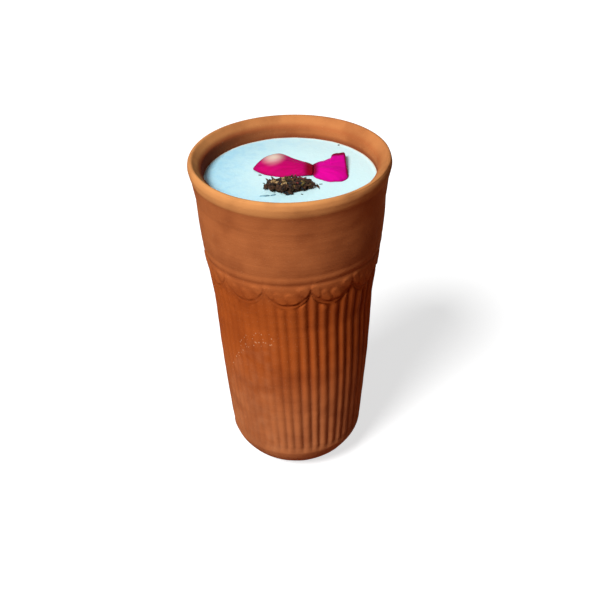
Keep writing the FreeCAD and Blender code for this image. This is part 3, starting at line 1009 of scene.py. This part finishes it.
@dataclass
class Petal:
    """A rose petal lying on the drink: a thin cupped sheet inside a free-form edge.

    The claw is the pale patch, the root is where the veins meet, and each of the folds is a
    stripe of painted shade: right and back of its two ends, then its half width.
    """

    name: str
    stands_for: str
    rim: tuple[RimPoint, ...]
    middle: RimPoint
    claw_place: tuple[float, float]
    claw_size: float
    folds: tuple[tuple[float, float, float, float, float], ...]
    claw_share: float = 1.0
    root_place: tuple[float, float] = (9.0, 3.6)
    thickness: float = 0.38
    columns: int = 144
    rings: int = 26
    ruffle: float = 0.25
    vein_rise: float = 0.02
    pleat: float = 0.22
    least_lift: float = 0.12
    clear: float = 0.02
    seed: int = 1

    def sheet(self, drink: Drink) -> tuple[np.ndarray, np.ndarray]:
        """Points of the petal's upper side and how far each is towards the edge.

        Along each ray from the middle to the edge the height is blended by the share
        squared, and ruffles grow towards the edge.

        Args:
            drink: the drink underneath.

        Returns:
            Points by ring and column, and shares of 0..1 by ring.
        """
        edge = smooth_loop(np.array([[p.x, p.y, p.lift] for p in self.rim]), self.columns)
        middle = np.array([self.middle.x, self.middle.y, self.middle.lift])
        share = np.linspace(0, 1, self.rings + 1)[1:, None]
        flat = middle[:2] + (edge[None, :, :2] - middle[:2]) * share[..., None]
        lift = middle[2] * (1 - share ** 2) + edge[None, :, 2] * share ** 2
        around = np.arange(self.columns)[None, :] / self.columns * 2 * np.pi
        draw = np.random.default_rng(self.seed)
        for waves in (5, 9, 14):
            lift = lift + self.ruffle / waves * 3 * share ** 3 * np.cos(
                waves * around + draw.uniform(0, 2 * np.pi))
        lift = np.maximum(lift, self.least_lift)
        height = drink.surface_height(flat[..., 0], flat[..., 1]) + lift
        return np.concatenate([flat, height[..., None]], axis=-1), share

    def build(self, material: Material, drink: Drink) -> None:
        """Make the petal.

        The sheet is doubled, and its height has veins and pleats added, which are cosines of
        the bearing from the root.  Nothing goes below the drink.

        Args:
            material: its finish.
            drink: the drink underneath.
        """
        upper, share = self.sheet(drink)
        # The under side mirrors the upper one, a thickness lower, thinned to the edge.
        lower = upper[-2::-1].copy()
        lower[..., 2] -= self.thickness * (1 - share[-2::-1] ** 6)
        # Rings run from under the middle to the edge and back over it, so faces look outwards.
        surface = np.concatenate([upper, lower])[::-1]
        along = np.concatenate([share, share[-2::-1]])[::-1] * np.ones(self.columns)
        x, y = surface[..., 0], surface[..., 1]
        # The claw runs out to the petal's back edge.
        away = np.hypot(x - self.claw_place[0], 0.7 * (y - self.claw_place[1]))
        root = np.hypot(x - self.root_place[0], y - self.root_place[1])
        bearing = np.arctan2(y - self.root_place[1], abs(x - self.root_place[0]))
        veins = 0.5 + 0.25 * np.cos(23 * bearing + self.seed) + 0.25 * np.cos(
            37 * bearing + 2 * np.sin(0.4 * root))
        # Pleats run from the root and fade at the edge; the petal sinks by their height.
        pleats = self.pleat * np.cos(6.5 * bearing + self.seed) * ramp(root, 1.0, 7.0) * (
            1 - ramp(along, 0.8, 1.0))
        surface[..., 2] += self.vein_rise * veins + pleats - self.pleat * ramp(root, 1.0, 7.0)
        surface[..., 2] = np.maximum(surface[..., 2], drink.surface_height(x, y) + self.clear)
        # Painted shade along each of the folds, where the petal is gathered or turned over; the
        # sheet itself is not folded there.
        folded = np.zeros(x.shape)
        for x0, y0, x1, y1, size in self.folds:
            length = math.hypot(x1 - x0, y1 - y0)
            part = np.clip(((x - x0) * (x1 - x0) + (y - y0) * (y1 - y0)) / length ** 2, 0, 1)
            apart = np.hypot(x - x0 - part * (x1 - x0), y - y0 - part * (y1 - y0))
            folded = np.maximum(folded, ramp(-apart, -size, -0.35 * size))
        make_closed_piece(self.name, surface, material, self.stands_for, {
            "veins": veins,
            "edge": 0.7 * ramp(along, 0.84, 1.0),
            "claw": self.claw_share * ramp(-away, -self.claw_size, 0),
            "fold_shade": 0.95 * folded})


def left_petal() -> Petal:
    """Shape the left petal: broad, domed, pale at the back, its right end gathered.

    Returns:
        The petal.
    """
    return Petal(
        "petal_left", "rose_petal_left",
        (RimPoint(9.6, 3.2, 1.45), RimPoint(9.6, 5.6, 1.55), RimPoint(8.9, 7.7, 1.6),
         RimPoint(6.4, 9.2, 1.6), RimPoint(2.5, 11.4, 1.9), RimPoint(-0.8, 14.2, 2.1),
         RimPoint(-3.9, 16.4, 2.6), RimPoint(-8.3, 15.0, 2.3), RimPoint(-11.7, 12.6, 1.9),
         RimPoint(-13.9, 9.5, 1.4), RimPoint(-15.6, 5.8, 0.8), RimPoint(-13.4, 3.1, 0.3),
         RimPoint(-9.2, 0.2, 0.2), RimPoint(-3.4, -1.6, 0.2), RimPoint(2.3, -1.5, 0.25),
         RimPoint(6.3, -1.1, 0.45), RimPoint(8.9, -0.9, 0.8), RimPoint(9.6, 0.8, 1.25)),
        RimPoint(-3.8, 6.0, 3.2), (-6.9, 12.2), 6.2, ((9.2, 0.6, 9.2, 6.8, 4.6),),
        claw_share=0.9, seed=4)


def right_petal() -> Petal:
    """Shape the right petal: a fan from the gathered end, its back edge folded over.

    Returns:
        The petal.
    """
    return Petal(
        "petal_right", "rose_petal_right",
        (RimPoint(23.8, 0.3, 1.2), RimPoint(23.4, 6.3, 2.4), RimPoint(23.1, 14.6, 3.1),
         RimPoint(20.3, 14.0, 3.1), RimPoint(17.9, 13.0, 2.9), RimPoint(17.0, 11.0, 2.4),
         RimPoint(15.1, 10.3, 2.1), RimPoint(12.3, 9.5, 1.5), RimPoint(9.2, 7.5, 0.8),
         RimPoint(8.6, 5.4, 0.5), RimPoint(8.5, 3.2, 0.45), RimPoint(8.7, 0.9, 0.35),
         RimPoint(9.5, -1.2, 0.3), RimPoint(11.0, -3.4, 0.3), RimPoint(15.6, -6.5, 0.2),
         RimPoint(18.6, -6.8, 0.2), RimPoint(21.4, -6.4, 0.2), RimPoint(23.7, -3.6, 0.5)),
        RimPoint(16.6, 2.0, 2.8), (9.4, 4.0), 0.5,
        ((17.9, 13.0, 22.8, 14.0, 2.8), (9.1, 0.6, 9.1, 6.8, 3.4), (23.6, 12.0, 24.0, -2.0, 1.3)),
        claw_share=0.0, seed=9)


# ---------------------------------------------------------------- garnish


@dataclass(frozen=True)
class Scatter:
    """One kind of small thing: its piece, number, size and where in the heap it lies.

    The middle and the spread are shares of the heap's half width and half depth.
    """

    name: str
    count: int
    length: float
    girth: float
    seed: int
    spread: float = 0.9
    middle: tuple[float, float] = (0.0, 0.0)
    flat: float = 0.7
    tip: float = 0.6


def lump(columns: int = 8, rows: int = 5) -> np.ndarray:
    """A unit ball as rings and columns, to be turned into one irregular bit.

    Args:
        columns: points in a ring.
        rows: rings between the poles.

    Returns:
        The points.
    """
    tilt = (np.arange(rows) + 0.5) / rows * np.pi
    around = np.arange(columns) / columns * 2 * np.pi
    return np.stack([
        np.sin(tilt)[:, None] * np.cos(around), np.sin(tilt)[:, None] * np.sin(around),
        -np.cos(tilt)[:, None] * np.ones(columns)], axis=-1)


def turns(draw: np.random.Generator, count: int, tip: float) -> np.ndarray:
    """Random rotations: any heading, tipped from level by up to tip radians.

    Args:
        draw: where the random numbers come from.
        count: how many.
        tip: most tipping.

    Returns:
        A matrix of three by three for each.
    """
    heading = draw.uniform(0, 2 * np.pi, count)
    lean = draw.uniform(-tip, tip, count)
    c, s, cl, sl = np.cos(heading), np.sin(heading), np.cos(lean), np.sin(lean)
    zero = np.zeros(count)
    return np.stack([np.stack([c * cl, -s, c * sl], -1), np.stack([s * cl, c, s * sl], -1),
                     np.stack([-sl, zero, cl], -1)], axis=1)


@dataclass
class NutHeap:
    """The heap of chopped nuts and dried bits: a dark core under loose pieces."""

    low: Vector
    high: Vector
    drink: Drink
    core_share: float = 0.80
    core_rise: float = 0.60
    rise: float = 0.76
    shift: float = -0.7
    widen: float = 1.06

    def place(self) -> tuple[Vector, Vector]:
        """Find the heap's place.

        Returns:
            Its middle and half sizes in millimetres.
        """
        middle = (self.low + self.high) / 2 / METRES
        half = (self.high - self.low) / 2 / METRES
        return middle + Vector((self.shift, 0, 0)), Vector((half.x * self.widen, *half[1:]))

    def mound(self, x: np.ndarray, y: np.ndarray) -> np.ndarray:
        """Height of the heap over the drink: a flattened dome over its oval plan.

        Args:
            x: place to the right.
            y: place to the back.

        Returns:
            Heights.
        """
        middle, half = self.place()
        out = ((x - middle.x) / half.x) ** 2 + ((y - middle.y) / half.y) ** 2
        return (2 * half.z) * self.rise * np.sqrt(np.clip(1 - out, 0, 1))

    def core(self, material: Material) -> None:
        """Make the dark core, lumpy and a little smaller than the heap.

        It is a ball with a tenth of waves on its radius, stretched to the heap's three sizes
        and cut off level just under the drink.

        Args:
            material: its finish.
        """
        middle, half = self.place()
        ball = lump(40, 16)
        bumps = 1 + 0.10 * np.cos(5 * ball[..., 0] * 2 + 1) * np.cos(7 * ball[..., 1] + 2)
        scale = np.array([half.x, half.y, 2 * half.z * self.core_rise]) * self.core_share
        surface = ball * bumps[..., None] * scale
        surface[..., 2] = np.maximum(surface[..., 2], -0.4)
        surface += np.array([middle.x, middle.y, self.drink.level - 0.1])
        make_closed_piece("heap_core", surface, material, "garnish_heap")

    def pile(self, kind: Scatter, material: Material) -> None:
        """Make all the bits of one kind as one mesh.

        Each bit is a ball with its own three sizes, heading and dents, laid on the mound.

        Args:
            kind: what to make.
            material: its finish.
        """
        draw = np.random.default_rng(kind.seed)
        middle, half = self.place()
        out = np.sqrt(draw.uniform(0.0, 1.0, kind.count)) * kind.spread
        bearing = draw.uniform(0, 2 * np.pi, kind.count)
        out = out * (1 + 0.10 * np.cos(3 * bearing + 0.6) + 0.08 * np.cos(5 * bearing + 2.0))
        across = kind.middle[0] + out * np.cos(bearing)
        x = middle.x + half.x * across
        # The heap bends back towards its two ends.
        y = middle.y + half.y * (kind.middle[1] + out * np.sin(bearing) + 0.3 * across ** 2)
        size = draw.uniform(0.7, 1.25, kind.count)
        sizes = np.stack([kind.length * size, kind.girth * size,
                          kind.girth * kind.flat * size], -1) / 2
        z = self.drink.level + np.maximum(self.mound(x, y) - 0.4 * sizes[:, 2], 0.25)
        ball = lump().reshape(-1, 3)
        rough = 1 + draw.uniform(-0.36, 0.30, (kind.count, len(ball), 1))
        local = ball[None] * rough * sizes[:, None, :]
        placed = np.einsum("nij,nkj->nki", turns(draw, kind.count, kind.tip), local)
        placed += np.stack([x, y, z], -1)[:, None, :]
        limit = self.drink.level + 2 * half.z + 0.25
        placed[..., 2] = np.minimum(placed[..., 2], limit)
        self.join(kind.name, placed, material)

    def join(self, name: str, balls: np.ndarray, material: Material) -> None:
        """Make many small closed bits as one piece.

        Args:
            name: the piece's name.
            balls: for each bit, the points of its rings.
            material: the finish.
        """
        shape = lump().shape[:2]
        rings = balls.reshape(len(balls), *shape, 3)
        poles = rings[:, [0, -1]].mean(axis=2)
        points = np.concatenate([poles[:, :1], balls, poles[:, 1:]], axis=1)
        quads, triangles = closed_faces(*shape)
        step = (np.arange(len(balls)) * points.shape[1])[:, None, None]
        make_piece(name, points.reshape(-1, 3),
                   [(quads + step).reshape(-1, 4), (triangles + step).reshape(-1, 3)],
                   material, smooth=False)

    def build(self) -> None:
        """Make the core and every kind of bit over it."""
        dark = DryBits("dried_dark", "#1D1108", "#442B1B").make()
        self.core(dark)
        self.pile(Scatter("dried_bits", 62, 2.9, 2.0, 21, 0.98), dark)
        self.pile(Scatter("dried_shreds", 40, 4.6, 0.9, 25, 1.06, flat=0.6, tip=0.5),
                  DryBits("dried_shred", "#23160C", "#563923").make())
        self.pile(Scatter("nut_chips", 9, 2.9, 2.0, 22, 0.42, (-0.3, -0.1)),
                  DryBits("toasted_nut", "#6A4E2E", "#C0A070").make())
        self.pile(Scatter("green_chips", 12, 2.4, 1.6, 27, 0.85, (0.1, 0.1)),
                  DryBits("green_nut", "#3E341A", "#776436").make())
        self.pile(Scatter("dried_rose_bits", 9, 2.8, 1.8, 23, 0.45, (0.5, 0.1), 0.4),
                  DryBits("dried_rose", "#401214", "#74302C").make())
        self.pile(Scatter("dark_seeds", 20, 2.0, 1.5, 24, 0.6, (0.0, -0.5)),
                  DryBits("dark_seed", "#14161A", "#262C32").make())
        # Right, back, length, girth and heading in degrees of each bit off the heap.
        self.stray("stray_bits", [
            (-12.6, 0.9, 1.6, 0.7, -20.0), (21.2, 27.6, 1.0, 0.8, 30.0),
            (12.4, -8.4, 1.7, 0.5, 10.0), (-10.9, -6.6, 1.3, 0.5, -30.0),
            (4.6, -16.9, 1.2, 0.6, -40.0)], dark)
        # Two thin grey-blue streaks lie on the drink left of the heap.
        self.stray("grey_blue_streaks", [
            (-10.4, -17.4, 4.6, 1.2, 4.0), (-7.0, -17.0, 2.6, 1.0, 25.0)],
            DryBits("grey_blue_streak", "#54798A", "#8DB6C4").make())

    def stray(self, name: str, places: list[tuple[float, ...]], material: Material) -> None:
        """Make the few bits that lie on the drink away from the heap.

        Args:
            name: the piece's name.
            places: right, back, length, girth and heading in degrees of each bit.
            material: their finish.
        """
        bits = np.array(places)
        ball = lump()
        local = ball.reshape(1, -1, 3) * np.stack(
            [bits[:, 2], bits[:, 3], 0.6 * bits[:, 3]], -1)[:, None, :] / 2
        heading = np.radians(bits[:, 4])[:, None]
        x = local[..., 0] * np.cos(heading) - local[..., 1] * np.sin(heading) + bits[:, :1]
        y = local[..., 0] * np.sin(heading) + local[..., 1] * np.cos(heading) + bits[:, 1:2]
        level = self.drink.surface_height(bits[:, :1], bits[:, 1:2]) + 0.05
        self.join(name, np.stack([x, y, local[..., 2] + level], -1), material)


# ---------------------------------------------------------------- stage


@dataclass(frozen=True)
class Studio:
    """Plain pale floor, one soft key light from the left front and an even fill."""

    key_azimuth: float = -38.0
    key_elevation: float = 47.0
    key_strength: float = 4.1
    key_softness: float = 24.0
    fill: float = 0.07
    floor_half: float = 6.0
    floor_seen: str = "#C4C4C4"
    floor_glow: float = 0.68
    floor_lit: str = "#7A3E22"

    def seen(self, tree: Tree) -> Socket:
        """Tell what the camera sees, straight or in gloss or glass, from other light.

        Args:
            tree: the node tree to add to.

        Returns:
            A socket that is one for what the camera sees, else nought.
        """
        path = add_node(tree, "ShaderNodeLightPath").outputs
        seen = path["Is Camera Ray"]
        for label in ("Is Glossy Ray", "Is Transmission Ray"):
            seen = add_node(tree, "ShaderNodeMath", {"operation": "MAXIMUM"},
                            {0: seen, 1: path[label]}).outputs[0]
        return seen

    def floor(self) -> None:
        """Make the floor."""
        half = self.floor_half
        corners = [(-half, -half, 0), (half, -half, 0), (half, half, 0), (-half, half, 0)]
        mesh = bpy.data.meshes.new("floor")
        mesh.from_pydata(corners, [], [(0, 1, 2, 3)])
        material = bpy.data.materials.new("floor")
        material.use_nodes = True
        tree = material.node_tree
        surface = tree.nodes["Principled BSDF"].inputs
        seen = self.seen(tree)
        colour = add_node(tree, "ShaderNodeMix", {
            "data_type": "RGBA", "#6": linear(self.floor_lit), "#7": linear(self.floor_seen)},
            {0: seen})
        tree.links.new(colour.outputs[2], surface["Base Color"])
        # More than half of the white that the camera sees is the floor's own, so the shadow
        # stays faint.
        glow = add_node(tree, "ShaderNodeMath",
                        {"operation": "MULTIPLY", "#1": self.floor_glow}, {0: seen})
        tree.links.new(glow.outputs[0], surface["Emission Strength"])
        surface["Emission Color"].default_value = (1.0, 1.0, 1.0, 1.0)
        surface["Roughness"].default_value = 0.9
        surface["Specular IOR Level"].default_value = 0.0
        mesh.materials.append(material)
        floor = bpy.data.objects.new("floor", mesh)
        bpy.context.scene.collection.objects.link(floor)

    def world(self) -> None:
        """Make the even fill, seen by the camera as white."""
        world = bpy.data.worlds.new("studio")
        world.use_nodes = True
        tree = world.node_tree
        back = tree.nodes["Background"]
        back.inputs["Color"].default_value = (1.0, 1.0, 1.0, 1.0)
        level = add_node(tree, "ShaderNodeMapRange", {"#To Min": self.fill, "#To Max": 1.0},
                         {"Value": self.seen(tree)})
        tree.links.new(level.outputs[0], back.inputs["Strength"])
        bpy.context.scene.world = world

    def key(self) -> None:
        """Make the key light."""
        lamp = bpy.data.lights.new("key", "SUN")
        lamp.energy = self.key_strength
        lamp.angle = math.radians(self.key_softness)
        azimuth, elevation = math.radians(self.key_azimuth), math.radians(self.key_elevation)
        towards = Vector((math.sin(azimuth) * math.cos(elevation),
                          -math.cos(azimuth) * math.cos(elevation), math.sin(elevation)))
        light = bpy.data.objects.new("key", lamp)
        light.location = towards * 2.0
        light.rotation_euler = towards.to_track_quat("Z", "Y").to_euler()
        bpy.context.scene.collection.objects.link(light)

    def build(self) -> None:
        """Make floor, fill and key."""
        self.floor()
        self.world()
        self.key()


@dataclass(frozen=True)
class Viewpoint:
    """The camera: where it aims, how far off and how high it stands, and its small roll."""

    aim: tuple[float, float, float] = (2.8, -29.41, 98.09)
    distance: float = 454.7
    elevation: float = 33.58
    roll: float = 1.34
    lens: float = 66.0
    sensor: float = 36.0

    def build(self) -> None:
        """Make the camera and hand it to the scene."""
        data = bpy.data.cameras.new("camera")
        data.lens = self.lens
        data.sensor_width = self.sensor
        data.clip_start = 0.01
        camera = bpy.data.objects.new("camera", data)
        elevation, roll = math.radians(self.elevation), math.radians(self.roll)
        back = Vector((0, -math.cos(elevation), math.sin(elevation)))
        right = Vector((1, 0, 0))
        up = Vector((0, math.sin(elevation), math.cos(elevation)))
        rolled_right = math.cos(roll) * right - math.sin(roll) * up
        rolled_up = math.sin(roll) * right + math.cos(roll) * up
        turn = Matrix((rolled_right, rolled_up, back)).transposed()
        place = (Vector(self.aim) + back * self.distance) * METRES
        camera.matrix_world = Matrix.Translation(place) @ turn.to_4x4()
        bpy.context.scene.collection.objects.link(camera)
        bpy.context.scene.camera = camera


def main() -> None:
    """Build the cup, the drink and its garnish, then the stage."""
    logging.basicConfig(level=logging.INFO, format="%(message)s")
    bpy.context.scene.view_settings.view_transform = "Standard"
    ClayCup().build(Terracotta().make())
    drink = Drink()
    drink.build(ThickLassi().make())
    left_petal().build(RosePetalSkin(
        "crimson_rose_petal", "#C40668", "#8A0440", "#7E0016").make(), drink)
    right_petal().build(RosePetalSkin(
        "magenta_rose_petal", "#DA0494", "#A00562", "#7A0022").make(), drink)
    NutHeap(*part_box("garnish_heap"), drink).build()
    Studio().build()
    Viewpoint().build()


if __name__ == "__main__":
    main()
